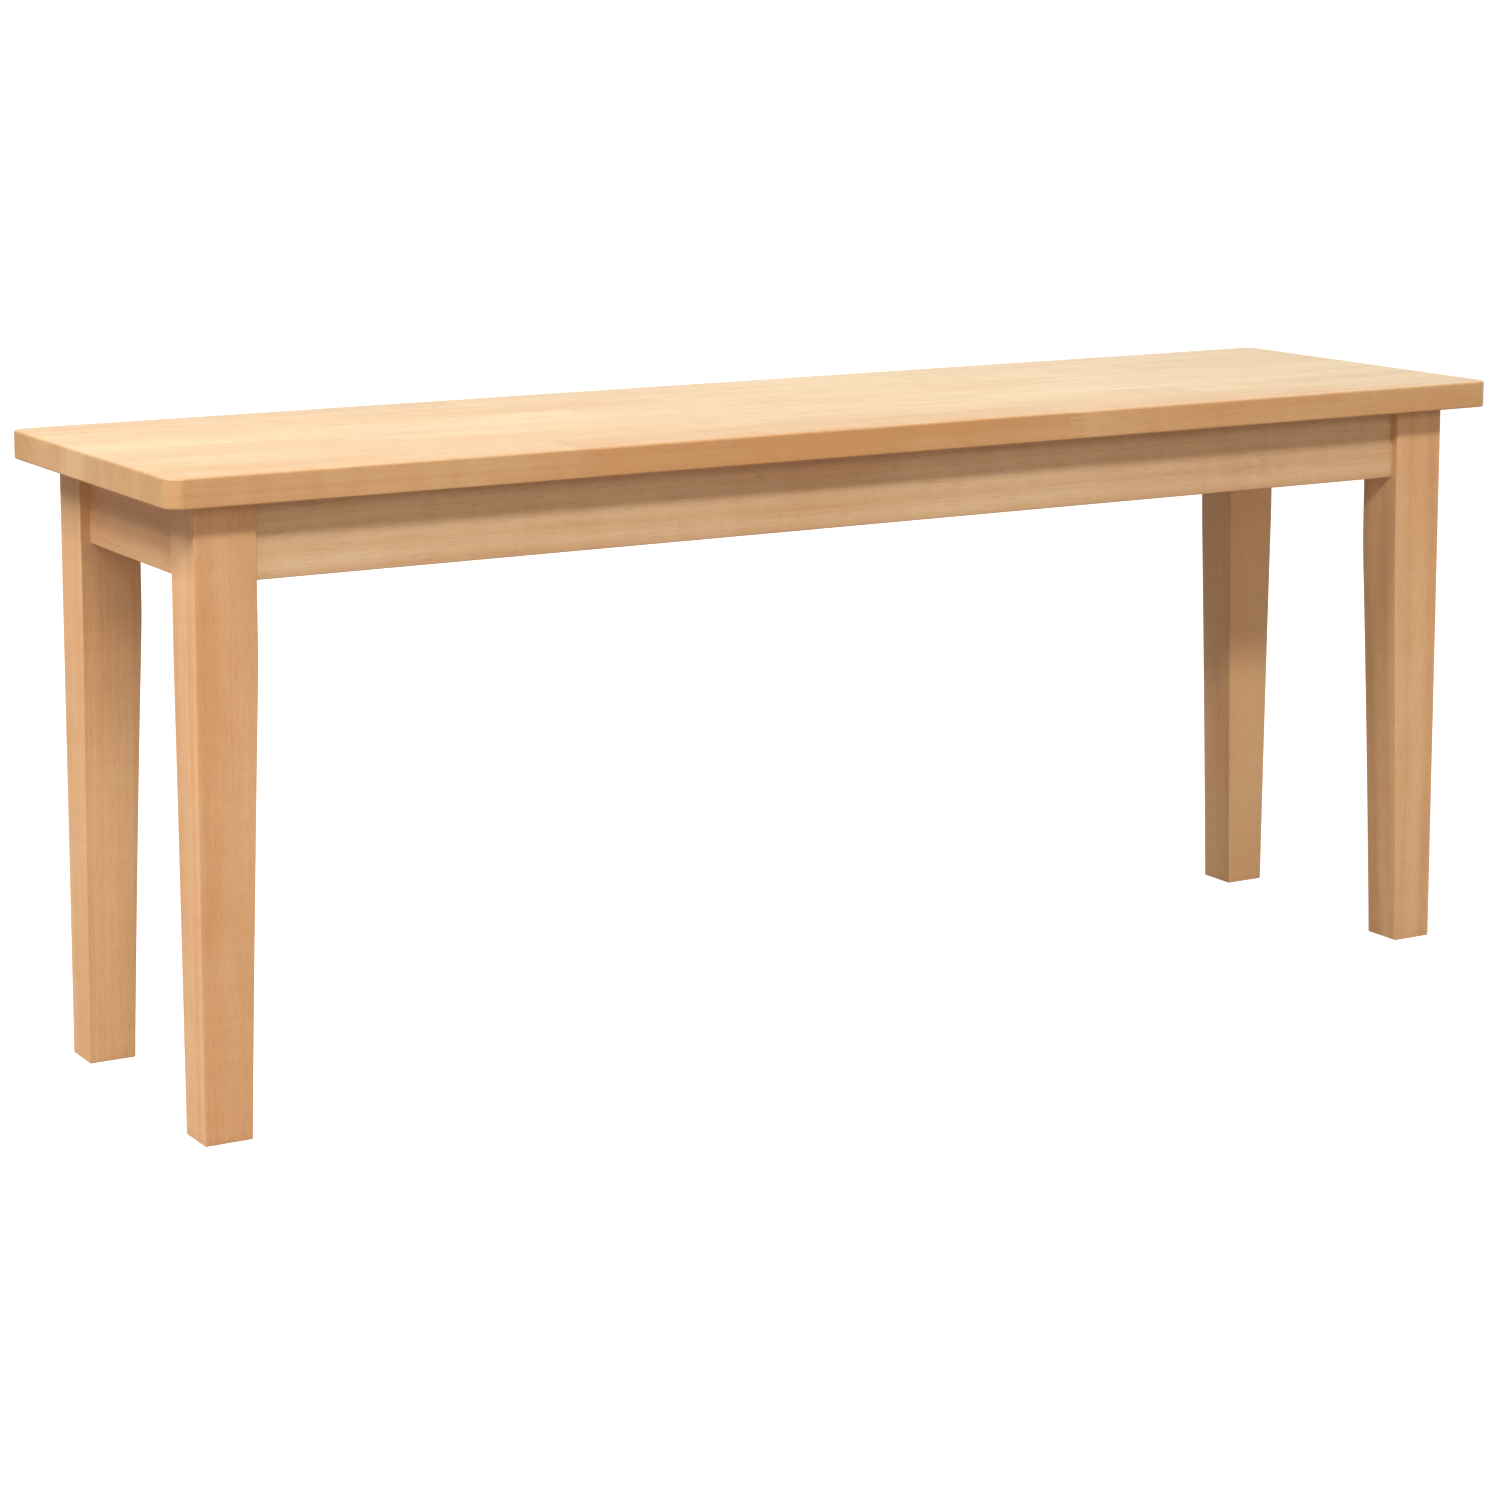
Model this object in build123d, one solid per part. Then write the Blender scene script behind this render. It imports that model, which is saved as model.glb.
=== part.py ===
from build123d import *
import os
from math import sqrt

# A backless dining bench in light hardwood. The seat is a panel glued up from
# staves, and each stave is blocks finger-jointed end to end. Four aprons and a
# centre rail stiffen it. Each tapered leg is pulled into its corner by a hanger
# bolt that passes through a corner block between two aprons.
# Millimetres. X runs along the seat, the front faces -Y and Z is up. The origin
# lies on the floor under the middle of the seat.

# Seat panel
seat_length = 1100.0
seat_depth = 300.0
seat_height = 448.0
seat_thickness = 20.0
seat_corner_radius = 12.0
seat_edge_radius = 1.2
stave_count = 6

# Where the blocks of each stave meet, front stave first, along the seat from its left end
joint_shares = [
    (0.277, 0.64),
    (0.42, 0.79),
    (0.20, 0.56),
    (0.36, 0.72),
    (0.44, 0.83),
    (0.31, 0.66),
]
finger_length = 15.0
finger_pitch = 4.0
finger_tip = 0.8

# Legs
seat_overhang = 26.5
leg_width = 44.0
leg_depth = 39.0
foot_width = 34.0
foot_depth = 33.0
taper_height = 318.0
taper_hollow = 0.4
taper_blend_radius = 1000.0
leg_edge_radius = 0.8
leg_flat_cut = 12.0

# Aprons
apron_height = 55.0
apron_thickness = 18.0
long_apron_setback = 6.0
end_apron_setback = 7.0
apron_edge_radius = 1.0

# Corner blocks
block_thickness = 22.0
block_height = 40.0
draw_gap = 2.0

# Hanger bolts with their washers and nuts
bolt_diameter = 8.0
bolt_bite = 38.0
bolt_stick_out = 5.0
bolt_tip = 6.0
bolt_chamfer = 0.8
washer_diameter = 20.0
washer_thickness = 1.6
nut_across_flats = 13.0
nut_height = 6.5
nut_chamfer = 0.8

# Pan-head screws: one size holds the corner blocks, a longer one holds the seat
screw_diameter = 4.0
screw_tip = 5.0
screw_head_diameter = 8.0
screw_head_height = 2.6
screw_head_rim = 1.0
recess_span = 4.4
recess_width = 1.0
recess_depth = 1.5
block_screw_length = 25.0
block_screw_inset = 12.5
block_screw_rise = 11.0
seat_screw_length = 45.0
seat_screw_bite = 14.0

# Places of the seat screws, as shares of half the apron or rail that they pass through
long_apron_screw_shares = (-0.75, -0.25, 0.25, 0.75)
end_apron_screw_shares = (-0.5, 0.5)
rail_screw_shares = (-0.6, 0.6)

# Centre rail and its dowels
rail_height = 40.0
rail_thickness = 18.0
dowel_diameter = 8.0
dowel_length = 30.0
dowel_bite = 12.0
dowel_chamfer = 1.0
dowel_spacing = 20.0

# Fits
hole_clearance = 0.2
bolt_clearance = 1.0
pocket_clearance = 1.0
end_clearance = 1.0
overrun = 5.0

# Places that follow from the sizes above
seat_underside = seat_height - seat_thickness
leg_x = seat_length / 2 - seat_overhang
leg_y = seat_depth / 2 - seat_overhang
apron_bottom = seat_underside - apron_height
long_apron_y = leg_y - long_apron_setback - apron_thickness / 2
end_apron_x = leg_x - end_apron_setback - apron_thickness / 2
inner_y = long_apron_y - apron_thickness / 2
inner_x = end_apron_x - apron_thickness / 2
long_apron_half = leg_x - leg_width
end_apron_half = leg_y - leg_depth
block_middle = seat_underside - apron_height / 2
rail_middle = seat_underside - rail_height / 2
seat_screw_head = seat_screw_length - seat_screw_bite

# The corner frame: its Z runs from the crossing of two aprons' inner faces to the
# middle of the bench, its X along the corner block and its Y up
corner_plane = Plane(origin=(-inner_x, -inner_y, block_middle), x_dir=(-1, 1, 0), z_dir=(1, 1, 0))
leg_corner_reach = (inner_x - long_apron_half + inner_y - end_apron_half) / sqrt(2)
leg_flat = leg_corner_reach - leg_flat_cut / sqrt(2)
block_outer = leg_flat + draw_gap
block_inner = block_outer + block_thickness
corner_names = ("front_left", "front_right", "back_left", "back_right")


def turned(points):
    """Solid of revolution about Z from an outline of (radius, height) points."""
    outline = make_face(Polyline(*points, close=True))
    return revolve(Plane.XZ * outline, Axis.Z)


def rod(diameter, low, high):
    """Cylinder on Z between two heights."""
    align = (Align.CENTER, Align.CENTER, Align.MIN)
    return Pos(0, 0, low) * Cylinder(diameter / 2, high - low, align=align)


def block_between(low, high):
    """Box between two opposite corners."""
    size = [b - a for a, b in zip(low, high)]
    return Pos(*low) * Box(*size, align=(Align.MIN, Align.MIN, Align.MIN))


def corners(shape):
    """The front left piece and its mirror images, in the order of corner_names."""
    right = mirror(shape, about=Plane.YZ)
    return [shape, right, mirror(shape, about=Plane.XZ), mirror(right, about=Plane.XZ)]


def save(name, shape):
    """Write one sub-part under its own name."""
    shape.label = name
    export_step(shape, f"parts/{name}.step")


def screw(length):
    """Pan-head wood screw on Z, the underside of its head at zero, pointing down."""
    radius = screw_diameter / 2
    shank = turned([(0, 0), (radius, 0), (radius, screw_tip - length), (0, -length)])
    rim = (screw_head_diameter / 2, screw_head_rim)
    crown = (0, screw_head_height)
    sides = Polyline(crown, (0, 0), (screw_head_diameter / 2, 0), rim)
    head = revolve(Plane.XZ * make_face(sides + TangentArc(crown, rim, tangent=(1, 0))), Axis.Z)
    slot = block_between(
        (-recess_span / 2, -recess_width / 2, screw_head_height - recess_depth),
        (recess_span / 2, recess_width / 2, screw_head_height + overrun))
    return shank + head - slot - Rot(0, 0, 90) * slot


def seat_screw_places():
    """Points where the seat screws meet the seat's underside."""
    places = []
    for side in (-1, 1):
        places += [(share * long_apron_half, side * long_apron_y) for share in long_apron_screw_shares]
        places += [(side * end_apron_x, share * end_apron_half) for share in end_apron_screw_shares]
    places += [(0, share * inner_y) for share in rail_screw_shares]
    return places


def seat_screw_frames():
    """Seat screws point up: each frame's Z runs down from the seat's underside."""
    return [Location((x, y, seat_underside), (180, 0, 0)) for x, y in seat_screw_places()]


def seat_screw_passages():
    """Clearance hole and head pocket below the seat for every seat screw."""
    passage = rod(screw_diameter + hole_clearance, -overrun, seat_screw_head + overrun)
    pocket = rod(screw_head_diameter + pocket_clearance, seat_screw_head, apron_height + overrun)
    return [frame * (passage + pocket) for frame in seat_screw_frames()]


def block_screw_frames():
    """Frames of the screws through one corner block, heads on its inner face."""
    across = block_inner - block_screw_inset
    places = [(u, v) for u in (-across, across) for v in (-block_screw_rise, block_screw_rise)]
    return [corner_plane.location * Pos(u, v, block_inner) for u, v in places]


def block_screw_holes():
    """Holes for the screws of the front left corner block."""
    hole = rod(screw_diameter + hole_clearance, -block_screw_length - end_clearance, overrun)
    return [frame * hole for frame in block_screw_frames()]


def dowel_frames():
    """Frames of the rail's dowels, on the aprons' inner faces with Z towards the rail."""
    frames = []
    for side in (-1, 1):
        for rise in (-dowel_spacing / 2, dowel_spacing / 2):
            frames.append(Location((0, side * inner_y, rail_middle + rise), (side * 90, 0, 0)))
    return frames


def dowel_holes():
    """Holes for the dowels, one through each joint between rail and apron."""
    inside = dowel_length - dowel_bite + end_clearance
    hole = rod(dowel_diameter + hole_clearance, -dowel_bite - end_clearance, inside)
    return [frame * hole for frame in dowel_frames()]


def seat_panel():
    """The whole seat with its eased edges and the pilot holes for its screws."""
    outline = RectangleRounded(seat_length, seat_depth, seat_corner_radius)
    panel = Pos(0, 0, seat_underside) * extrude(outline, seat_thickness)
    layers = panel.edges().group_by(Axis.Z)
    panel = fillet(layers[0] + layers[-1], seat_edge_radius)
    pilot = rod(screw_diameter + hole_clearance, -seat_screw_bite - end_clearance, overrun)
    return panel - [frame * pilot for frame in seat_screw_frames()]


def finger_line(joint_x):
    """Zigzag through the seat's thickness where two blocks meet, from below to above."""
    count = max(1, round(seat_thickness / finger_pitch))
    pitch = seat_thickness / count
    left = joint_x - finger_length / 2
    right = joint_x + finger_length / 2
    points = [(left, seat_underside - overrun)]
    for finger in range(count):
        foot = seat_underside + finger * pitch
        points.append((left, foot + finger_tip / 2))
        points.append((right, foot + (pitch - finger_tip) / 2))
        points.append((right, foot + (pitch + finger_tip) / 2))
        points.append((left, foot + pitch - finger_tip / 2))
    points.append((left, seat_height + overrun))
    return points


def end_line(side):
    """Straight line just past one end of the seat."""
    x = side * (seat_length / 2 + overrun)
    return [(x, seat_underside - overrun), (x, seat_height + overrun)]


def seat_blocks():
    """Every block of the seat by name: the panel cut into staves and at their joints."""
    panel = seat_panel()
    width = seat_depth / stave_count
    blocks = {}
    for stave in range(stave_count):
        front = -seat_depth / 2 + stave * width - (overrun if stave == 0 else 0)
        back = -seat_depth / 2 + (stave + 1) * width + (overrun if stave == stave_count - 1 else 0)
        shares = joint_shares[stave % len(joint_shares)]
        joints = [finger_line((share - 0.5) * seat_length) for share in shares]
        lines = [end_line(-1)] + joints + [end_line(1)]
        plane = Plane(origin=(0, back, 0), x_dir=(1, 0, 0), z_dir=(0, -1, 0))
        for number, (left, right) in enumerate(zip(lines, lines[1:])):
            outline = make_face(Polyline(*left, *reversed(right), close=True))
            strip = extrude(plane * outline, back - front)
            blocks[f"seat_stave_{stave + 1}_block_{number + 1}"] = panel & strip
    return blocks


def leg_outline(top_size, foot_size):
    """One leg seen square on: outer face at zero, inner face straight, then blended into
    a long shallow hollow down to the foot."""
    bend = (top_size, taper_height)
    foot = (foot_size, 0)
    middle = ((top_size + foot_size) / 2 - taper_hollow, taper_height / 2)
    sides = Polyline(foot, (0, 0), (0, seat_underside), (top_size, seat_underside), bend)
    outline = make_face(sides + ThreePointArc(bend, middle, foot))
    return fillet(outline.vertices().sort_by_distance(bend)[0], taper_blend_radius)


def leg():
    """The front left leg, with the flat and the hole for its hanger bolt."""
    face_front = Plane(origin=(0, leg_depth + overrun, 0), x_dir=(1, 0, 0), z_dir=(0, -1, 0))
    face_left = Plane(origin=(-overrun, 0, 0), x_dir=(0, 1, 0), z_dir=(1, 0, 0))
    wide = extrude(face_front * leg_outline(leg_width, foot_width), leg_depth + 2 * overrun)
    deep = extrude(face_left * leg_outline(leg_depth, foot_depth), leg_width + 2 * overrun)
    post = wide & deep
    along = [edge for edge in post.edges() if edge.bounding_box().size.Z > leg_edge_radius]
    around_foot = post.edges().group_by(Axis.Z)[0]
    post = Pos(-leg_x, -leg_y, 0) * fillet(along + list(around_foot), leg_edge_radius)
    reach = leg_corner_reach + leg_flat_cut
    flat = corner_plane.location * block_between(
        (-reach, -apron_height / 2, leg_flat), (reach, apron_height / 2 + overrun, leg_flat + reach))
    bore = rod(bolt_diameter + hole_clearance, leg_flat - bolt_bite - end_clearance, leg_flat + overrun)
    return post - flat - corner_plane.location * bore


def long_apron():
    """The front apron between the two front legs, with the holes for screws and dowels."""
    low = (-long_apron_half, -long_apron_y - apron_thickness / 2, apron_bottom)
    high = (long_apron_half, -long_apron_y + apron_thickness / 2, seat_underside)
    board = block_between(low, high)
    lower_edges = board.edges().filter_by(Axis.X).group_by(Axis.Z)[0]
    board = fillet(lower_edges, apron_edge_radius)
    screws = block_screw_holes()
    screws += [mirror(hole, about=Plane.YZ) for hole in screws]
    return board - seat_screw_passages() - screws - dowel_holes()


def end_apron():
    """The left end apron between the two left legs, with the holes for its screws."""
    low = (-end_apron_x - apron_thickness / 2, -end_apron_half, apron_bottom)
    high = (-end_apron_x + apron_thickness / 2, end_apron_half, seat_underside)
    board = block_between(low, high)
    lower_edges = board.edges().filter_by(Axis.Y).group_by(Axis.Z)[0]
    board = fillet(lower_edges, apron_edge_radius)
    screws = block_screw_holes()
    screws += [mirror(hole, about=Plane.XZ) for hole in screws]
    return board - seat_screw_passages() - screws


def corner_block():
    """The front left corner block, its mitred ends flat on the aprons' inner faces."""
    near = block_outer * sqrt(2)
    far = block_inner * sqrt(2)
    outline = make_face(Polyline((near, 0), (far, 0), (0, far), (0, near), close=True))
    low = block_middle - block_height / 2
    body = Pos(-inner_x, -inner_y, low) * extrude(outline, block_height)
    bore = rod(bolt_diameter + bolt_clearance, block_outer - overrun, block_inner + overrun)
    return body - corner_plane.location * bore - block_screw_holes()


def centre_rail():
    """The rail between the long aprons, under the middle of the seat."""
    low = (-rail_thickness / 2, -inner_y, seat_underside - rail_height)
    high = (rail_thickness / 2, inner_y, seat_underside)
    return block_between(low, high) - seat_screw_passages() - dowel_holes()


def hanger_bolt():
    """Bolt through the front left corner: wood thread in the leg, machine thread for the nut."""
    radius = bolt_diameter / 2
    tip = leg_flat - bolt_bite
    end = block_inner + washer_thickness + nut_height + bolt_stick_out
    return corner_plane.location * turned([
        (0, tip), (radius, tip + bolt_tip), (radius, end - bolt_chamfer),
        (radius - bolt_chamfer, end), (0, end)])


def washer():
    """Flat washer on the inner face of the front left corner block."""
    disc = rod(washer_diameter, 0, washer_thickness)
    hole = rod(bolt_diameter + hole_clearance, -overrun, washer_thickness + overrun)
    return corner_plane.location * Pos(0, 0, block_inner) * (disc - hole)


def nut():
    """Hexagon nut on the front left washer, its corners chamfered on both faces."""
    prism = extrude(RegularPolygon(nut_across_flats / 2, 6, major_radius=False), nut_height)
    wide = nut_across_flats / sqrt(3)
    narrow = nut_across_flats / 2
    barrel = turned([
        (0, 0), (narrow, 0), (wide, nut_chamfer),
        (wide, nut_height - nut_chamfer), (narrow, nut_height), (0, nut_height)])
    bore = rod(bolt_diameter + hole_clearance, -overrun, nut_height + overrun)
    return corner_plane.location * Pos(0, 0, block_inner + washer_thickness) * ((prism & barrel) - bore)


def dowel():
    """Dowel on Z with chamfered ends, from the apron into the rail."""
    radius = dowel_diameter / 2
    top = dowel_length - dowel_bite
    return turned([
        (0, -dowel_bite), (radius - dowel_chamfer, -dowel_bite), (radius, dowel_chamfer - dowel_bite),
        (radius, top - dowel_chamfer), (radius - dowel_chamfer, top), (0, top)])


def main():
    os.makedirs("parts", exist_ok=True)
    for name, block in seat_blocks().items():
        save(name, block)
    apron = long_apron()
    save("front_apron", apron)
    save("back_apron", mirror(apron, about=Plane.XZ))
    apron = end_apron()
    save("left_end_apron", apron)
    save("right_end_apron", mirror(apron, about=Plane.YZ))
    for name, piece in zip(corner_names, corners(leg())):
        save(f"{name}_leg", piece)
    for name, piece in zip(corner_names, corners(corner_block())):
        save(f"{name}_corner_block", piece)
    save("centre_rail", centre_rail())
    save("rail_dowels", Compound([frame * dowel() for frame in dowel_frames()]))
    save("hanger_bolts", Compound(corners(hanger_bolt())))
    save("washers", Compound(corners(washer())))
    save("hex_nuts", Compound(corners(nut())))
    block_screws = [frame * screw(block_screw_length) for frame in block_screw_frames()]
    save("corner_block_screws", Compound([piece for one in block_screws for piece in corners(one)]))
    seat_screw = Pos(0, 0, seat_screw_head) * screw(seat_screw_length)
    save("seat_screws", Compound([frame * seat_screw for frame in seat_screw_frames()]))


main()
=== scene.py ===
import math
import bpy
import numpy as np
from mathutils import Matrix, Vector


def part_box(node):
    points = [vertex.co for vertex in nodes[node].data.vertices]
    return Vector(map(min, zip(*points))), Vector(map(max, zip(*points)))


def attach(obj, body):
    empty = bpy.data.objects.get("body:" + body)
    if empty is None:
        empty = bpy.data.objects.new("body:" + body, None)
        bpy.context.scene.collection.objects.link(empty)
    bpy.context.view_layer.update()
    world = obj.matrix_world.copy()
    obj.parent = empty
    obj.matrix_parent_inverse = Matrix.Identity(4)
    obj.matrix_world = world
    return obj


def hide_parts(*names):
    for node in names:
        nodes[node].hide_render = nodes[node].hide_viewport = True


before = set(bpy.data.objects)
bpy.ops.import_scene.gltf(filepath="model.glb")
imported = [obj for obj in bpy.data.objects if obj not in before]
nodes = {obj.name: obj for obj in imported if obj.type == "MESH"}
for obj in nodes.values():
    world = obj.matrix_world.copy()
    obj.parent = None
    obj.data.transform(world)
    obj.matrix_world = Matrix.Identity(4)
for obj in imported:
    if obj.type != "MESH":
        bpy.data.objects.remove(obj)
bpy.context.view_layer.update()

# Backless dining bench in rubberwood, on white background paper.
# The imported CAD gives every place. Seat blocks, legs and hanger bolts are made again here with
# finer surfaces, the other pieces keep their CAD shape and get their finish.
mm = 0.001  # sizes in the dictionaries are millimetres times this, other lengths are metres
print("frame loaded:", len(nodes), "nodes")


def hexToLinear(code):
    # sRGB hex to the linear colour that a socket takes
    parts = [int(code[i:i + 2], 16) / 255 for i in (1, 3, 5)]
    return tuple(((c + 0.055) / 1.055) ** 2.4 if c > 0.04045 else c / 12.92 for c in parts) + (1.0,)


def addNode(tree, kind, sockets=None, **settings):
    # one shader node: settings go on it, sockets get a value or a link from another output
    node = tree.nodes.new("ShaderNode" + kind)
    for name, value in settings.items():
        setattr(node, name, value)
    for name, value in (sockets or {}).items():
        if isinstance(value, bpy.types.NodeSocket):
            tree.links.new(value, node.inputs[name])
        else:
            node.inputs[name].default_value = value
    return node.outputs


# rubberwood, sanded and sprayed with satin lacquer: cream to tan with a soft straight grain, short
# open pores that hold a little dust, and a broad low sheen
lacqueredWood = {
    "surface": "sanded, satin clear lacquer",
    "pale": "#DEB686",          # earlywood between the rings
    "deep": "#C5905E",          # rings and dense fibre
    "warm": "#CD854E",          # redder heart side of some blocks
    "pore": "#84522E",          # open vessels with lacquer and dust in them
    "edge": "#B98A5A",          # painted shade on the rounded arrises, darker to take down the lamps' highlight there
    "ringGap": 6.0 * mm,        # rubberwood grows fast, 5 to 8 mm a flush
    "ringDetail": 2.0,
    "waver": 7.0 * mm,          # how far the grain drifts from straight
    # patterns: length of a cell on the grain, width across it, octaves of finer detail
    "driftCells": (420.0 * mm, 90.0 * mm, 1.0),   # slow bends of the grain
    "cloudCells": (190.0 * mm, 38.0 * mm, 2.0),   # broad clouds of heartwood colour
    "fibreCells": (70.0 * mm, 1.3 * mm, 2.0),     # really 0.1 to 0.3 mm wide, drawn to show
    "figureCells": (14.0 * mm, 45.0 * mm, 1.0),   # mottle where the fibres lean to and fro
    "poreCells": (8.0 * mm, 0.7 * mm, 0.0),       # really 0.2 mm wide, drawn coarser as well
    "poreNoise": (0.62, 0.74),  # noise where a pore begins and where it is at its deepest
    # how far each pattern moves the colour
    "ringShare": 0.36,
    "cloudShare": 0.42,
    "fibreShare": 0.26,
    "figureShare": 0.20,
    "poreShare": 0.12,
    "endDarker": 0.93,          # end grain drinks more lacquer
    "endFacing": (0.45, 0.90),  # share of the normal on the grain: side grain, then end grain
    "edgeShadeShare": 0.42,          # how far the arrises go towards their painted shade
    "edgeShadeFacing": (0.97, 0.75),  # largest share of the normal on one axis: flat face, then arris
    "rough": (0.36, 0.50),
    "roughNoise": (0.3, 0.7),
    "relief": 0.05 * mm,
    "bump": 0.6,
    "ior": 1.5,
    "coat": 0.20,
    "coatRoughness": 0.26,
}

# the seat's staves are picked for an even colour
seatLook = dict(
    lacqueredWood,
    pale="#D6B284",
    deep="#BD8D5B",
    warm="#C88B50",
    ringShare=0.23,
    fibreShare=0.15,
    poreShare=0.10,
)

# the long aprons come from a greyer, less orange log than the legs, and their pores show more
apronLook = dict(
    lacqueredWood,
    pale="#DCBD93",
    deep="#C2976C",
    poreShare=0.17,
)

# the same wood planed and left bare, out of sight: paler and dry, with dull open pores, no lacquer
#  and no painted shade on the arrises
planedWood = dict(
    lacqueredWood,
    surface="planed, bare",
    pale="#DDBB90",
    deep="#C49867",
    edgeShadeShare=0.0,
    rough=(0.58, 0.72),
    relief=0.09 * mm,
    coat=0.0,
)

# turns that lay the grain of a piece along the pattern's X
grainAlong = {
    "x": (0.0, 0.0, 0.0),
    "y": (0.0, 0.0, math.radians(-90)),
    "z": (0.0, math.radians(90), 0.0),
    "cornerRight": (0.0, 0.0, math.radians(45)),
    "cornerLeft": (0.0, 0.0, math.radians(-45)),
}


def newMaterial(name):
    material = bpy.data.materials.new(name)
    material.use_nodes = True
    material.node_tree.nodes.clear()
    return material, material.node_tree


def makeWood(part, look, grain, start=(0.0, 0.0, 0.0), tone=0.0, warmth=0.0, boards=False):
    # solid wood: distance from a far pith line gives the growth rings, noises stretched along the
    # grain give clouds, fibres, mottle and pores, so end faces show the cross cut of the same wood;
    # with boards, the mesh's own attributes give each board its place in the log, tone and warmth
    material, tree = newMaterial(f"rubberwood, {look['surface']}, {part}")
    here = addNode(tree, "TexCoord")
    point = addNode(tree, "Mapping", {
        "Vector": here["Object"], "Rotation": grainAlong[grain], "Location": start})[0]
    if boards:
        shift = addNode(tree, "Attribute", attribute_name="boardShift")["Vector"]
        point = addNode(tree, "VectorMath", {0: point, 1: shift}, operation="ADD")[0]
        tone = addNode(tree, "Attribute", attribute_name="boardTone")["Fac"]
        warmth = addNode(tree, "Attribute", attribute_name="boardWarmth")["Fac"]

    def stretched(cells):
        length, width, detail = cells
        scaled = addNode(tree, "VectorMath", {
            0: point, 1: (1 / length, 1 / width, 1 / width)}, operation="MULTIPLY")[0]
        return addNode(tree, "TexNoise", {"Vector": scaled, "Scale": 1.0, "Detail": detail})

    drift = stretched(look["driftCells"])["Color"]
    point = addNode(tree, "VectorMath", {
        0: drift, 1: (0.0, look["waver"], look["waver"]), 2: point}, operation="MULTIPLY_ADD")[0]
    across = addNode(tree, "VectorMath", {0: point, 1: (0.0, 1.0, 1.0)}, operation="MULTIPLY")[0]
    fromPith = addNode(tree, "VectorMath", {0: across}, operation="LENGTH")["Value"]
    rings = addNode(tree, "TexNoise", {
        "W": fromPith, "Scale": 1 / look["ringGap"], "Detail": look["ringDetail"]},
        noise_dimensions="1D")[0]
    cloud = stretched(look["cloudCells"])[0]
    fibres = stretched(look["fibreCells"])[0]
    figure = stretched(look["figureCells"])[0]
    dashes = stretched(look["poreCells"])[0]
    poreFrom, poreTo = look["poreNoise"]
    pores = addNode(tree, "MapRange", {
        "Value": dashes, "From Min": poreFrom, "From Max": poreTo})[0]

    # depth of colour from pale to deep: a half is the middle, each pattern moves it either way
    depth = addNode(tree, "Math", {
        0: rings, 1: 2 * look["ringShare"], 2: 0.5 - look["ringShare"]},
        operation="MULTIPLY_ADD")[0]
    for pattern, share in ((cloud, look["cloudShare"]), (fibres, look["fibreShare"]),
                           (figure, look["figureShare"])):
        swing = addNode(tree, "Math", {
            0: pattern, 1: 2 * share, 2: -share}, operation="MULTIPLY_ADD")[0]
        depth = addNode(tree, "Math", {0: depth, 1: swing}, operation="ADD")[0]
    depth = addNode(tree, "Math", {0: depth, 1: tone}, operation="ADD", use_clamp=True)[0]
    colour = addNode(tree, "Mix", {
        0: depth, 6: hexToLinear(look["pale"]), 7: hexToLinear(look["deep"])}, data_type="RGBA")[2]
    heart = addNode(tree, "Math", {0: cloud, 1: warmth}, operation="MULTIPLY", use_clamp=True)[0]
    colour = addNode(tree, "Mix", {
        0: heart, 6: colour, 7: hexToLinear(look["warm"])}, data_type="RGBA")[2]
    poreDepth = addNode(tree, "Math", {0: pores, 1: look["poreShare"]}, operation="MULTIPLY")[0]
    colour = addNode(tree, "Mix", {
        0: poreDepth, 6: colour, 7: hexToLinear(look["pore"])}, data_type="RGBA")[2]

    # end grain: faces that look along the grain are darker
    facing = addNode(tree, "Mapping", {
        "Vector": here["Normal"], "Rotation": grainAlong[grain]}, vector_type="VECTOR")[0]
    sides = addNode(tree, "VectorMath", {0: facing}, operation="ABSOLUTE")[0]
    share = addNode(tree, "SeparateXYZ", {0: sides})
    sideGrain, endGrain = look["endFacing"]
    endFace = addNode(tree, "MapRange", {
        "Value": share["X"], "From Min": sideGrain, "From Max": endGrain,
        "To Min": 1.0, "To Max": look["endDarker"]})[0]
    colour = addNode(tree, "Mix", {
        0: 1.0, 6: colour, 7: endFace}, data_type="RGBA", blend_type="MULTIPLY")[2]

    # painted shade on the arrises: where no axis owns the normal the colour is darkened, taking down
    # the lamps' highlight there
    owner = addNode(tree, "Math", {0: share["X"], 1: share["Y"]}, operation="MAXIMUM")[0]
    owner = addNode(tree, "Math", {0: owner, 1: share["Z"]}, operation="MAXIMUM")[0]
    flatFace, roundedEdge = look["edgeShadeFacing"]
    arrisShade = addNode(tree, "MapRange", {
        "Value": owner, "From Min": flatFace, "From Max": roundedEdge,
        "To Min": 0.0, "To Max": look["edgeShadeShare"]})[0]
    colour = addNode(tree, "Mix", {
        0: arrisShade, 6: colour, 7: hexToLinear(look["edge"])}, data_type="RGBA")[2]

    noiseLow, noiseHigh = look["roughNoise"]
    smooth, rough = look["rough"]
    roughness = addNode(tree, "MapRange", {
        "Value": fibres, "From Min": noiseLow, "From Max": noiseHigh,
        "To Min": smooth, "To Max": rough})[0]
    height = addNode(tree, "Math", {0: pores, 1: -1.0, 2: fibres}, operation="MULTIPLY_ADD")[0]
    bump = addNode(tree, "Bump", {
        "Height": height, "Distance": look["relief"], "Strength": look["bump"]})[0]
    shader = addNode(tree, "BsdfPrincipled", {
        "Base Color": colour, "Roughness": roughness, "Normal": bump, "IOR": look["ior"],
        "Coat Weight": look["coat"], "Coat Roughness": look["coatRoughness"]})[0]
    addNode(tree, "OutputMaterial", {"Surface": shader})
    return material


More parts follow.
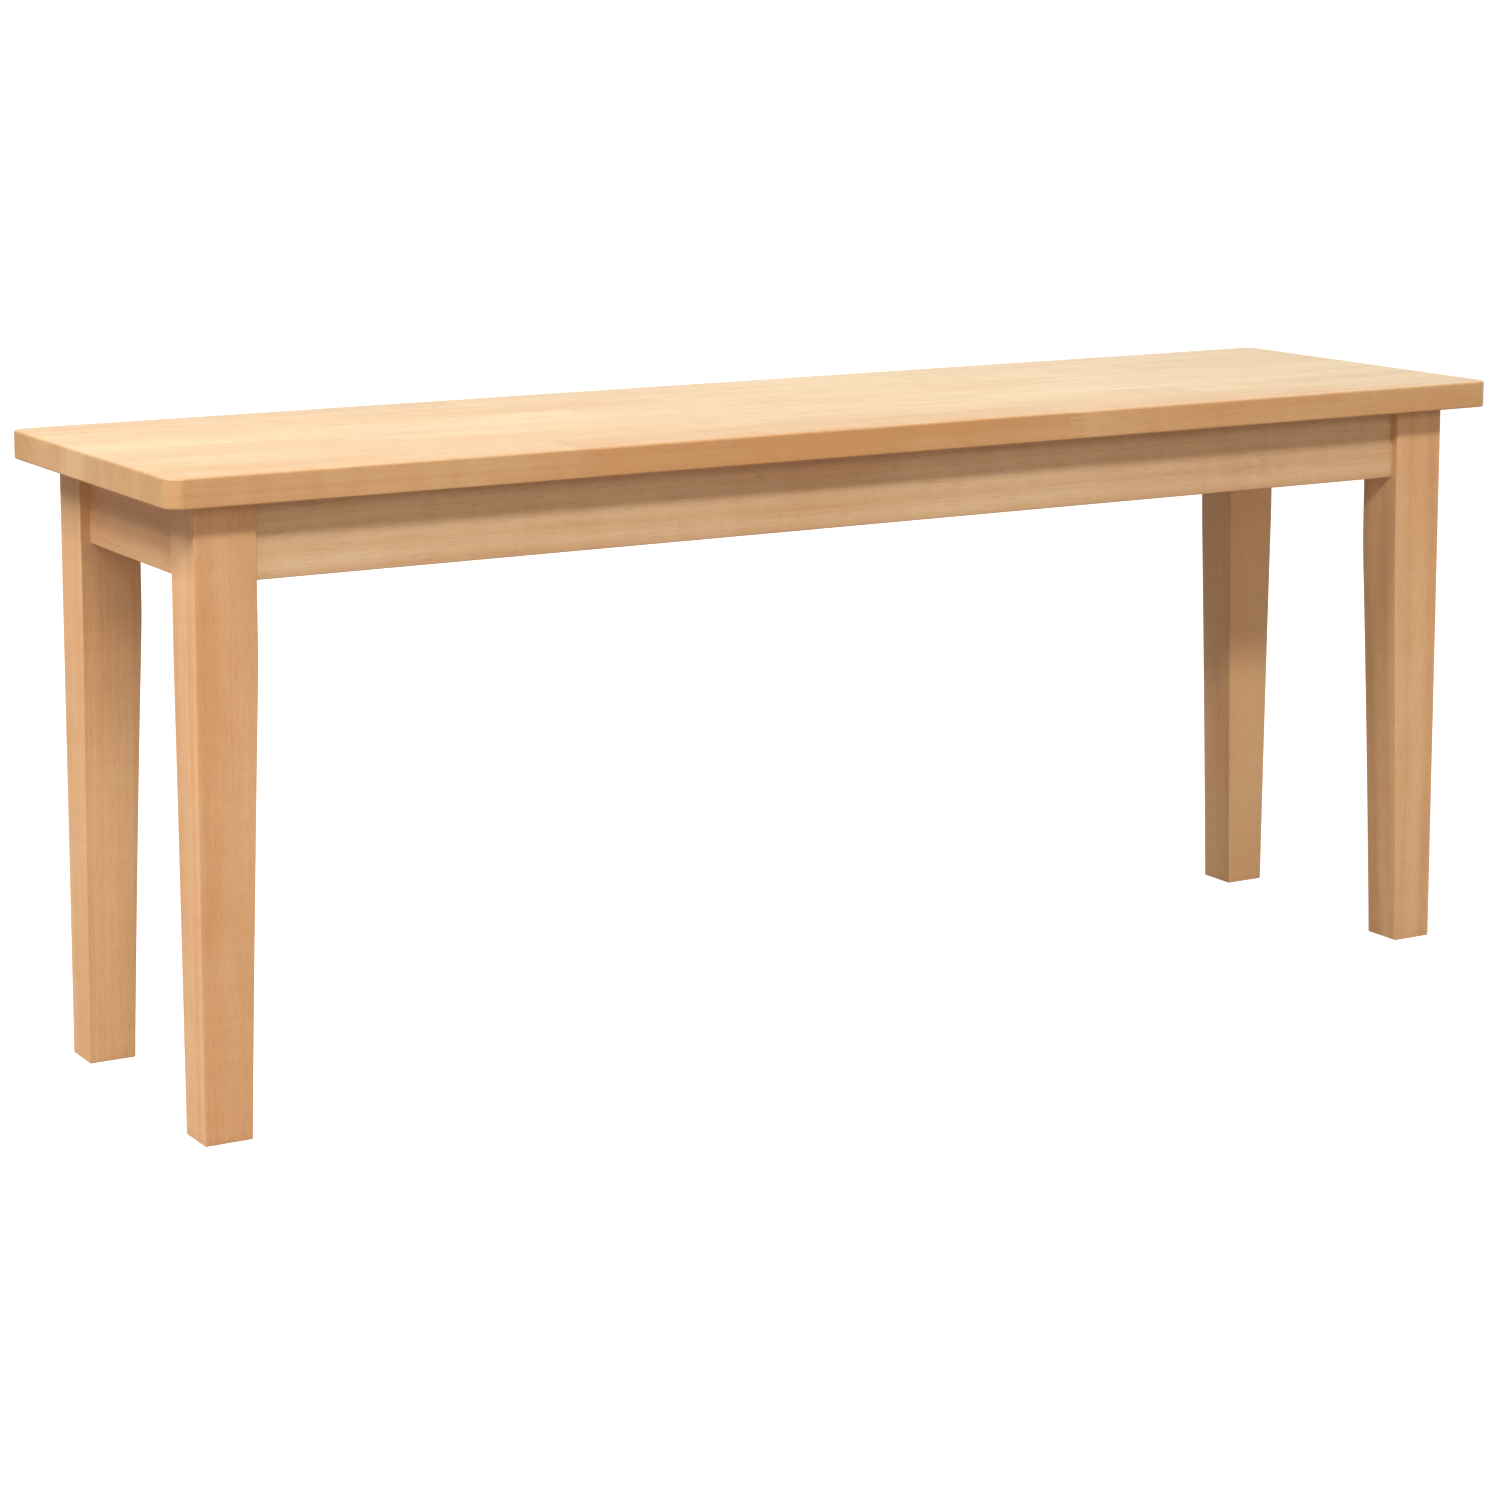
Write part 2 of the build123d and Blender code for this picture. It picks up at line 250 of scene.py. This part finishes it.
def skin(grid):
    # quads between neighbouring loops of grid[level, point], closed round each loop, with one flat
    # face over the first and the last loop; loops run anticlockwise seen from the last one
    levels, around = grid.shape[:2]
    index = np.arange(levels * around).reshape(levels, around)
    ahead = np.roll(index, -1, axis=1)
    quads = np.stack([index[:-1], ahead[:-1], ahead[1:], index[1:]], axis=-1).reshape(-1, 4)
    return grid.reshape(-1, 3), quads.tolist() + [index[0, ::-1].tolist(), index[-1].tolist()]


def addPiece(name, surfaces, node, material, sharp=30, board=None):
    # joins the surfaces into one mesh, gives it its finish and puts it in the CAD node's place;
    # edges of more than sharp degrees stay sharp in the shading
    points, faces, count = [], [], 0
    for surfacePoints, surfaceFaces in surfaces:
        points.append(surfacePoints)
        faces += [[corner + count for corner in face] for face in surfaceFaces]
        count += len(surfacePoints)
    mesh = bpy.data.meshes.new(name)
    mesh.from_pydata(np.concatenate(points).tolist(), [], faces)
    mesh.shade_smooth()
    mesh.set_sharp_from_angle(angle=math.radians(sharp))
    if board:
        shift = mesh.attributes.new("boardShift", "FLOAT_VECTOR", "POINT")
        shift.data.foreach_set("vector", np.tile(board["shift"], count).astype(np.float32))
        for key, value in (("boardTone", board["tone"]), ("boardWarmth", board["warmth"])):
            mesh.attributes.new(key, "FLOAT", "POINT").data.foreach_set(
                "value", np.full(count, value, np.float32))
    mesh.materials.append(material)
    piece = bpy.data.objects.new(name, mesh)
    bpy.context.scene.collection.objects.link(piece)
    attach(piece, "root")
    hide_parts(node)
    return piece


def easing(radius, steps):
    # heights above a face and insets of a quarter round: h = r(1 - cos a), e = r(1 - sin a)
    angle = np.linspace(0, math.pi / 2, steps)
    return radius * (1 - np.cos(angle)), radius * (1 - np.sin(angle))


# seat: 18 blocks, finger-jointed into six staves that are glued edge to edge
seat = {
    "cornerRadius": 12.0 * mm,
    "cornerSteps": 21,
    "edgeRadius": 1.2 * mm,
    "edgeSteps": 7,
    "fingerLength": 15.0 * mm,
    "fingerPitch": 4.0 * mm,
    "fingerTip": 0.8 * mm,
    "glueLine": 0.12 * mm,      # each block's edge is broken this much where two meet
    "glueAngle": 40,            # degrees, only edges sharper than this are broken
    "staves": 6,
    "blocks": 3,
    "seed": 11,
    # ranges that chance draws from: tone, warmth, metres along the log and from its pith
    "toneRange": (-0.12, 0.10),
    "warmthRange": (0.05, 0.30),
    "alongRange": (-3.0, 3.0),
    "pithRange": (0.05, 0.14),
    # tone and warmth of blocks that can be told apart in the light, by stave and block
    "chosen": {
        (1, 1): (0.24, 0.26), (1, 2): (0.36, 0.52), (1, 3): (0.16, 0.45),
        (2, 1): (0.02, 0.45), (3, 1): (0.12, 0.10), (4, 1): (-0.14, 0.12),
        (5, 1): (0.08, 0.45), (6, 1): (0.12, 0.20)},
}


def fingerLine(z, low):
    # zigzag of the finger joint: offset goes from -half at whole pitches above the underside to
    # +half in the middle of a pitch, in straight flanks between flat tips
    step = (z - low) / seat["fingerPitch"] % 1
    fromRoot = np.minimum(step, 1 - step) * seat["fingerPitch"]
    tip, half = seat["fingerTip"] / 2, seat["fingerPitch"] / 2
    share = np.clip((fromRoot - tip) / (half - 2 * tip), 0, 1)
    return (share - 0.5) * seat["fingerLength"]


def blockOutline(low, high, outer):
    # plan loop of a block, anticlockwise: points, inward normals, how much each follows the easing
    # and whether it lies on a joint; a corner of two outer sides is an arc, c + r(cos a, sin a)
    places, normals, eased, onJoint = [], [], [], []
    inward = {
        "front": np.array([0.0, 1.0]), "right": np.array([-1.0, 0.0]),
        "back": np.array([0.0, -1.0]), "left": np.array([1.0, 0.0])}
    corners = (
        ("left", "front", low[0], low[1], 180), ("front", "right", high[0], low[1], 270),
        ("right", "back", high[0], high[1], 0), ("back", "left", low[0], high[1], 90))
    for before, after, x, y, startAngle in corners:
        corner = np.array([x, y])
        if outer[before] and outer[after]:
            angle = np.radians(startAngle + np.linspace(0, 90, seat["cornerSteps"]))
            outward = np.stack([np.cos(angle), np.sin(angle)], axis=1)
            radius = seat["cornerRadius"]
            centre = corner + radius * inward[before] + radius * inward[after]
            places.append(centre + radius * outward)
            normals.append(-outward)
            eased.append(np.ones(len(angle)))
            onJoint.append(np.zeros(len(angle)))
        else:
            end = "left" if "left" in (before, after) else "right"
            places.append(corner[None])
            normals.append(inward[before if outer[before] else after][None])
            eased.append([float(outer[before] or outer[after])])
            onJoint.append([float(not outer[end])])
    return tuple(np.concatenate(part) for part in (places, normals, eased, onJoint))


def blockSurface(low, high, outer):
    # P(u, z) = outline(u) + e(z) * w(u) * inward normal(u), with the finger line's offset in x
    # added on the joint sides; e(z) is the quarter round of the eased edge, w(u) is 1 on outer sides
    heights, insets = easing(seat["edgeRadius"], seat["edgeSteps"])
    pitches = np.arange(0, high[2] - low[2] + seat["fingerTip"], seat["fingerPitch"] / 2)
    zigs = (pitches[:, None] + np.array([-0.5, 0.5]) * seat["fingerTip"]).ravel() + low[2]
    z = np.concatenate([low[2] + heights, high[2] - heights, zigs])
    z = np.unique(np.round(z[(z >= low[2]) & (z <= high[2])], 6))  # equal to a micron is one level
    edge = np.interp(np.minimum(z - low[2], high[2] - z), heights, insets)
    places, normals, eased, onJoint = blockOutline(low, high, outer)
    flat = places[None] + (edge[:, None] * eased[None])[:, :, None] * normals[None]
    grid = np.empty(flat.shape[:2] + (3,))
    grid[:, :, :2] = flat
    grid[:, :, 0] += fingerLine(z, low[2])[:, None] * onJoint[None]
    grid[:, :, 2] = z[:, None]
    return skin(grid)


seatWood = makeWood("seat", seatLook, "x", boards=True)
draw = np.random.default_rng(seat["seed"])
half = seat["fingerLength"] / 2
for stave in range(1, seat["staves"] + 1):
    for block in range(1, seat["blocks"] + 1):
        node = f"seat_stave_{stave}_block_{block}"
        low, high = (np.array(corner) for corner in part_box(node))
        outer = {
            "left": block == 1, "right": block == seat["blocks"],
            "front": stave == 1, "back": stave == seat["staves"]}
        # the node's box ends at the finger tips, the joint's middle is half a finger further in
        low[0] += 0 if outer["left"] else half
        high[0] -= 0 if outer["right"] else half
        tone, warmth = draw.uniform(*seat["toneRange"]), draw.uniform(*seat["warmthRange"])
        tone, warmth = seat["chosen"].get((stave, block), (tone, warmth))
        least, most = zip(seat["alongRange"], seat["pithRange"], (0.0, 2 * math.pi))
        along, away, turn = draw.uniform(least, most)
        middle = (low + high) / 2
        board = {
            "shift": (along, away * math.cos(turn) - middle[1], away * math.sin(turn) - middle[2]),
            "tone": tone, "warmth": warmth}
        piece = addPiece(
            node + "_board", [blockSurface(low, high, outer)], node, seatWood,
            board=board)
        bevel = piece.modifiers.new("glue line", "BEVEL")
        bevel.width = seat["glueLine"]
        bevel.segments = 1
        bevel.limit_method = "ANGLE"
        bevel.angle_limit = math.radians(seat["glueAngle"])
        bevel.harden_normals = True
print("seat:", seat["staves"] * seat["blocks"], "finger-jointed blocks")


# legs: straight down to below the aprons, then tapered on their two inner faces
leg = {
    "topWidth": 44.0 * mm,
    "topDepth": 39.0 * mm,
    "footWidth": 34.0 * mm,
    "footDepth": 33.0 * mm,
    "taperHeight": 318.0 * mm,
    "hollow": 0.4 * mm,         # how far the taper's curve sinks below a straight line
    "blendRadius": 1000.0 * mm,
    "edgeRadius": 0.8 * mm,
    "leastRadius": 0.1 * mm,
    "flatCut": 12.0 * mm,
    "flatFrom": 373.0 * mm,     # the bolt's flat starts level with the aprons' lower edge
    "steps": 7,
    "levels": 48,
    # tone, warmth and bearing of the pith in degrees
    "tones": {
        "front_left": (-0.12, 0.42, 20), "front_right": (-0.34, 0.40, 160),
        "back_left": (-0.26, 0.45, 75), "back_right": (-0.56, 0.44, 215)},
    "alongRange": (-3.0, 3.0),  # metres along the log, drawn by chance
    "fromPith": 80.0 * mm,
    "seed": 5,
}


def tapered(z, top, foot):
    # width at height z: straight above the bend, a shallow hollow arc from the bend to the foot,
    # and a parabola of the blend's radius between them
    height, hollow = leg["taperHeight"], leg["hollow"]
    share = np.clip(z / height, 0, 1)
    taper = foot + (top - foot) * share - 4 * hollow * share * (1 - share)
    slope = (top - foot + 4 * hollow) / height
    reach = leg["blendRadius"] * slope / 2
    blend = top - (height + reach - z) ** 2 / (2 * leg["blendRadius"])
    return np.where(z > height + reach, top, np.where(z > height - reach, blend, taper))


def legSurface(corner, toward, top):
    # P(u, z): a rounded rectangle of the two tapered widths, its outer corner on the corner line,
    # drawn in by the foot's easing; from the flat up the inner corner's arc lies on the flat
    heights, insets = easing(leg["edgeRadius"], leg["steps"])
    z = np.concatenate([
        heights, np.linspace(heights[-1], leg["flatFrom"], leg["levels"])[1:],
        [leg["flatFrom"], top]])
    edge = np.interp(z, heights, insets)
    wide = tapered(z, leg["topWidth"], leg["footWidth"])
    deep = tapered(z, leg["topDepth"], leg["footDepth"])
    radius = np.maximum(leg["edgeRadius"] - edge, leg["leastRadius"])
    angle = np.radians(np.linspace(0, 90, leg["steps"]))
    grid = []
    for right, far, start in ((0, 0, 180), (1, 0, 270), (1, 1, 0), (0, 1, 90)):
        turn = angle + math.radians(start)
        u = (wide - edge) if right else edge
        v = (deep - edge) if far else edge
        u = u[:, None] + radius[:, None] * (np.cos(turn)[None] + (-1 if right else 1))
        v = v[:, None] + radius[:, None] * (np.sin(turn)[None] + (-1 if far else 1))
        if right and far:
            share = np.linspace(0, 1, leg["steps"])
            u[-2:] = leg["topWidth"] - leg["flatCut"] * share
            v[-2:] = leg["topDepth"] - leg["flatCut"] * (1 - share)
        grid.append(np.stack([u, v, np.repeat(z[:, None], len(angle), axis=1)], axis=-1))
    grid = np.concatenate(grid, axis=1)
    grid[:, :, 0] = corner[0] + toward[0] * grid[:, :, 0]
    grid[:, :, 1] = corner[1] + toward[1] * grid[:, :, 1]
    if toward[0] * toward[1] < 0:  # a mirrored leg's loops run the other way
        grid = grid[:, ::-1]
    return skin(grid)


legWood = makeWood("legs", lacqueredWood, "z", boards=True)
draw = np.random.default_rng(leg["seed"])
for place, (tone, warmth, bearing) in leg["tones"].items():
    node = place + "_leg"
    low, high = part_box(node)
    left, front = "left" in place, "front" in place
    corner = (low.x if left else high.x, low.y if front else high.y)
    toward = (1 if left else -1, 1 if front else -1)
    turn, away = math.radians(bearing), leg["fromPith"]
    along = draw.uniform(*leg["alongRange"])
    board = {
        "shift": (along, away * math.cos(turn) - corner[1], away * math.sin(turn) + corner[0]),
        "tone": tone, "warmth": warmth}
    addPiece(
        node + "_post", [legSurface(corner, toward, high.z)], node, legWood,
        board=board)
print("legs:", len(leg["tones"]), "tapered posts")


# hanger bolts: one through each corner block into the leg's flat
bolt = {
    "radius": 4.0 * mm,
    "tip": 6.0 * mm,
    "tipRadius": 0.3 * mm,
    "chamfer": 0.8 * mm,
    "pitch": 1.25 * mm,
    "depth": 0.7 * mm,
    "flatShare": 0.1,           # of a thread's half pitch, flat at the crest and at the root
    "length": 75.1 * mm,
    "bite": 38.0 * mm,          # plain length in the leg, threaded from there on
    "around": 24,
    "perPitch": 8,
    "endReach": 52.66 * mm,     # free end, from where the aprons' inner faces would cross
    "crossing": (498.5 * mm, 99.5 * mm),
    "height": 400.5 * mm,
    "sharp": 60,                # degrees, so that the thread's flanks are shaded round
}


def boltSurface(sideX, sideY):
    # P(s, a) = axis(s) + r(s, a) * outward(a), with r = R - depth * ramp(|2t - 1|) on the thread,
    # t = s / pitch - a / 2pi less its whole part, a cone at the tip and a chamfer at the free end
    rings = int(bolt["length"] / bolt["pitch"] * bolt["perPitch"])
    s = np.linspace(0, bolt["length"], rings)
    angle = np.linspace(0, 2 * math.pi, bolt["around"], endpoint=False)
    t = (s[:, None] / bolt["pitch"] - angle[None] / (2 * math.pi)) % 1
    flat = bolt["flatShare"]
    ramp = np.clip((np.abs(2 * t - 1) - flat) / (1 - 2 * flat), 0, 1)
    threaded = np.clip((s - bolt["bite"]) / bolt["pitch"], 0, 1)[:, None]
    radius = bolt["radius"] - bolt["depth"] * ramp * threaded
    cone = bolt["tipRadius"] + (bolt["radius"] - bolt["tipRadius"]) * s / bolt["tip"]
    bevel = bolt["radius"] - bolt["chamfer"] + (bolt["length"] - s)
    radius = np.minimum(radius, np.minimum(cone, bevel)[:, None])
    along = np.array([-sideX, -sideY, 0]) / math.sqrt(2)
    level = np.cross((0, 0, 1), along)
    end = np.array([sideX * bolt["crossing"][0], sideY * bolt["crossing"][1], bolt["height"]])
    start = end + along * (bolt["endReach"] - bolt["length"])
    outward = np.cos(angle)[:, None] * level + np.sin(angle)[:, None] * np.array([0, 0, 1])
    return skin(start + s[:, None, None] * along + radius[:, :, None] * outward[None])


# bright zinc-plated steel: rolled thread, thin passivated plating, so pale grey metal with a slight
# blue to straw cast and fine barrel-plating scuffs
zinc = {
    "cool": "#C3C8CE",
    "straw": "#CFCBBF",
    "scuff": "#9DA0A3",
    "castSize": 4.0 * mm,
    "castDetail": 2.0,
    "castNoise": (0.35, 0.65),  # noise where the cast is all cool and all straw
    "scuffSize": 0.5 * mm,      # really under 0.1 mm, drawn coarser
    "scuffDetail": 3.0,
    "scuffNoise": (0.55, 0.75),  # noise where a scuff begins and where it is full
    "scuffShare": 0.6,
    "rough": (0.22, 0.42),
    "roughNoise": (0.35, 0.65),
    "relief": 0.01 * mm,
    "bump": 0.5,
}


def makeZinc(name, look):
    # slow noise turns the cast, fine noise scuffs, roughens and dents the plating
    material, tree = newMaterial(name)
    point = addNode(tree, "TexCoord")["Object"]
    cast = addNode(tree, "TexNoise", {
        "Vector": point, "Scale": 1 / look["castSize"], "Detail": look["castDetail"]})[0]
    scuffs = addNode(tree, "TexNoise", {
        "Vector": point, "Scale": 1 / look["scuffSize"], "Detail": look["scuffDetail"]})[0]
    allCool, allStraw = look["castNoise"]
    tint = addNode(tree, "MapRange", {
        "Value": cast, "From Min": allCool, "From Max": allStraw})[0]
    colour = addNode(tree, "Mix", {
        0: tint, 6: hexToLinear(look["cool"]), 7: hexToLinear(look["straw"])}, data_type="RGBA")[2]
    scuffFrom, scuffTo = look["scuffNoise"]
    worn = addNode(tree, "MapRange", {
        "Value": scuffs, "From Min": scuffFrom, "From Max": scuffTo,
        "To Max": look["scuffShare"]})[0]
    colour = addNode(tree, "Mix", {
        0: worn, 6: colour, 7: hexToLinear(look["scuff"])}, data_type="RGBA")[2]
    noiseLow, noiseHigh = look["roughNoise"]
    smooth, rough = look["rough"]
    roughness = addNode(tree, "MapRange", {
        "Value": scuffs, "From Min": noiseLow, "From Max": noiseHigh,
        "To Min": smooth, "To Max": rough})[0]
    bump = addNode(tree, "Bump", {
        "Height": scuffs, "Distance": look["relief"], "Strength": look["bump"]})[0]
    shader = addNode(tree, "BsdfPrincipled", {
        "Base Color": colour, "Metallic": 1.0, "Roughness": roughness, "Normal": bump})[0]
    addNode(tree, "OutputMaterial", {"Surface": shader})
    return material


zincSteel = makeZinc("steel, rolled, bright zinc plated", zinc)
threadedBolts = [boltSurface(x, y) for x in (-1, 1) for y in (-1, 1)]
addPiece(
    "hanger_bolts_threaded", threadedBolts, "hanger_bolts", zincSteel,
    sharp=bolt["sharp"])
print("hanger bolts:", len(threadedBolts), "threaded")


def dress(name, material):
    # gives a CAD node its finish
    slots = nodes[name].data.materials
    slots.clear()
    slots.append(material)


# pieces that keep their CAD shape: look, way of the grain, place in the log, tone and warmth;
# the grain of a corner block runs square to its bolt
keptWood = {
    "front_apron": (apronLook, "x", (0.7, 0.18, -0.33), -0.06, 0.20),
    "back_apron": (apronLook, "x", (1.9, -0.16, -0.35), -0.10, 0.20),
    "left_end_apron": (lacqueredWood, "y", (2.4, -0.46, -0.34), -0.18, 0.60),
    "right_end_apron": (lacqueredWood, "y", (3.1, 0.58, -0.33), 0.02, 0.20),
    "centre_rail": (planedWood, "y", (0.4, 0.07, -0.35), 0.0, 0.15),
    "rail_dowels": (planedWood, "y", (0.9, 0.02, -0.41), -0.2, 0.15),
    "front_left_corner_block": (planedWood, "cornerRight", (0.3, 0.05, -0.33), 0.0, 0.15),
    "front_right_corner_block": (planedWood, "cornerLeft", (0.3, 0.05, -0.33), 0.0, 0.15),
    "back_left_corner_block": (planedWood, "cornerLeft", (0.3, 0.05, -0.33), 0.0, 0.15),
    "back_right_corner_block": (planedWood, "cornerRight", (0.3, 0.05, -0.33), 0.0, 0.15),
}
keptSteel = ("washers", "hex_nuts", "corner_block_screws", "seat_screws")
for name, finish in keptWood.items():
    dress(name, makeWood(name.replace("_", " "), *finish))
for name in keptSteel:
    dress(name, zincSteel)
print("kept from the CAD:", len(keptWood) + len(keptSteel), "nodes")


# white background paper, matt, lit from below for the camera alone: it looks even white with no
# horizon, while the bench gets back the duller, warmer light of a studio floor
sweep = {
    "half": 90.0,               # metres, reaches past the top of the frame
    "below": 0.05 * mm,         # under the feet, so that no two faces share a plane
    "colour": "#94857A",
    "paler": "#998B80",
    "fibreSize": 2.5 * mm,      # clumps of fibre
    "fibreDetail": 2.0,
    "roughness": 0.9,
    "glow": "#FFFFFF",
    "seenGlow": 1.0,
}
floorPoints = sweep["half"] * np.array([[-1, -1, 0], [1, -1, 0], [1, 1, 0], [-1, 1, 0]], float)
floorPoints[:, 2] -= sweep["below"]
mesh = bpy.data.meshes.new("white_sweep")
mesh.from_pydata(floorPoints.tolist(), [], [[0, 1, 2, 3]])
paper, tree = newMaterial("white background paper, matt, lit from below")
fibre = addNode(tree, "TexNoise", {
    "Vector": addNode(tree, "TexCoord")["Object"], "Scale": 1 / sweep["fibreSize"],
    "Detail": sweep["fibreDetail"]})[0]
shade = addNode(tree, "Mix", {
    0: fibre, 6: hexToLinear(sweep["colour"]), 7: hexToLinear(sweep["paler"])}, data_type="RGBA")[2]
glow = addNode(tree, "Math", {
    0: addNode(tree, "LightPath")["Is Camera Ray"], 1: sweep["seenGlow"]}, operation="MULTIPLY")[0]
shader = addNode(tree, "BsdfPrincipled", {
    "Base Color": shade, "Roughness": sweep["roughness"],
    "Emission Color": hexToLinear(sweep["glow"]), "Emission Strength": glow})[0]
addNode(tree, "OutputMaterial", {"Surface": shader})
mesh.materials.append(paper)
floor = bpy.data.objects.new("white_sweep", mesh)
bpy.context.scene.collection.objects.link(floor)

# soft boxes: bearing from the front towards the left end and height, both in degrees, metres from
# the bench, width and height of the box in metres, watts and colour
lights = {
    "frontSoftbox": {
        "bearing": 0, "lift": 40.0, "away": 5.0, "size": (1.35, 0.50), "watts": 22.0},
    "keySoftbox": {
        "bearing": 22, "lift": 37.9, "away": 5.0, "size": (1.35, 0.50), "watts": 124.0},
    "lowRightSoftbox": {
        "bearing": -28, "lift": 14.9, "away": 5.0, "size": (1.7, 0.75), "watts": 26.5,
        "colour": "#FFF4EA"},
    "lowLeftSoftbox": {
        "bearing": 28, "lift": 14.9, "away": 5.0, "size": (1.7, 0.75), "watts": 13.0,
        "colour": "#FFF4EA"},
    "leftSoftbox": {
        "bearing": 87, "lift": 48.5, "away": 5.0, "size": (1.9, 2.1), "watts": 332.0,
        "colour": "#F5FAFF"},
    "rightSoftbox": {
        "bearing": -90, "lift": 8, "away": 5.0, "size": (1.9, 2.1), "watts": 42.0},
    "backSoftbox": {
        "bearing": -146, "lift": 15, "away": 3.2, "size": (3.6, 1.5), "watts": 17.5,
        "colour": "#EEFFF3"},
}
aim = Vector((0.0, 0.0, 0.42))  # just under the seat
for name, light in lights.items():
    lamp = bpy.data.lights.new(name, "AREA")
    lamp.shape = "RECTANGLE"
    lamp.size, lamp.size_y = light["size"]
    lamp.energy = light["watts"]
    lamp.color = hexToLinear(light.get("colour", "#FFFFFF"))[:3]
    stand = bpy.data.objects.new(name, lamp)
    bearing, lift = math.radians(light["bearing"]), math.radians(light["lift"])
    toward = Vector((
        -math.sin(bearing) * math.cos(lift), -math.cos(bearing) * math.cos(lift), math.sin(lift)))
    stand.location = aim + toward * light["away"]
    stand.rotation_euler = toward.to_track_quat("Z", "Y").to_euler()
    stand.visible_camera = False
    bpy.context.scene.collection.objects.link(stand)

room = {
    "colour": "#FFFFFF",
    "seen": 1.0,                # white behind the sweep's edge
    "fill": 0.28,               # what the studio's walls add to the soft boxes
}
world = bpy.data.worlds.new("white studio")
world.use_nodes = True
world.node_tree.nodes.clear()
seen = addNode(world.node_tree, "LightPath")["Is Camera Ray"]
strength = addNode(world.node_tree, "MapRange", {
    "Value": seen, "To Min": room["fill"], "To Max": room["seen"]})[0]
sky = addNode(world.node_tree, "Background", {
    "Color": hexToLinear(room["colour"]), "Strength": strength})[0]
addNode(world.node_tree, "OutputWorld", {"Surface": sky})
bpy.context.scene.world = world
bpy.context.scene.view_settings.view_transform = "Standard"

view = {
    "at": (-1.3895, -2.2962, 0.7674),
    "heading": 59.463,          # degrees from +X towards +Y
    "down": 7.516,              # degrees below level
    "focalPixels": 3639.2,      # of the 1500 pixel frame
    "framePixels": 1500,
    "rise": -0.20,              # lens shift, keeps the legs nearly upright
    "sensor": 36.0,
    "clip": (0.05, 500.0),
}
lens = bpy.data.cameras.new("photoCamera")
lens.sensor_width = view["sensor"]
lens.lens = view["focalPixels"] * view["sensor"] / view["framePixels"]
lens.shift_y = view["rise"]
lens.clip_start, lens.clip_end = view["clip"]
camera = bpy.data.objects.new("photoCamera", lens)
camera.location = view["at"]
camera.rotation_euler = (
    math.radians(90 - view["down"]), 0.0, math.radians(view["heading"] - 90))
bpy.context.scene.collection.objects.link(camera)
bpy.context.scene.camera = camera
print("floor, lights and camera set")
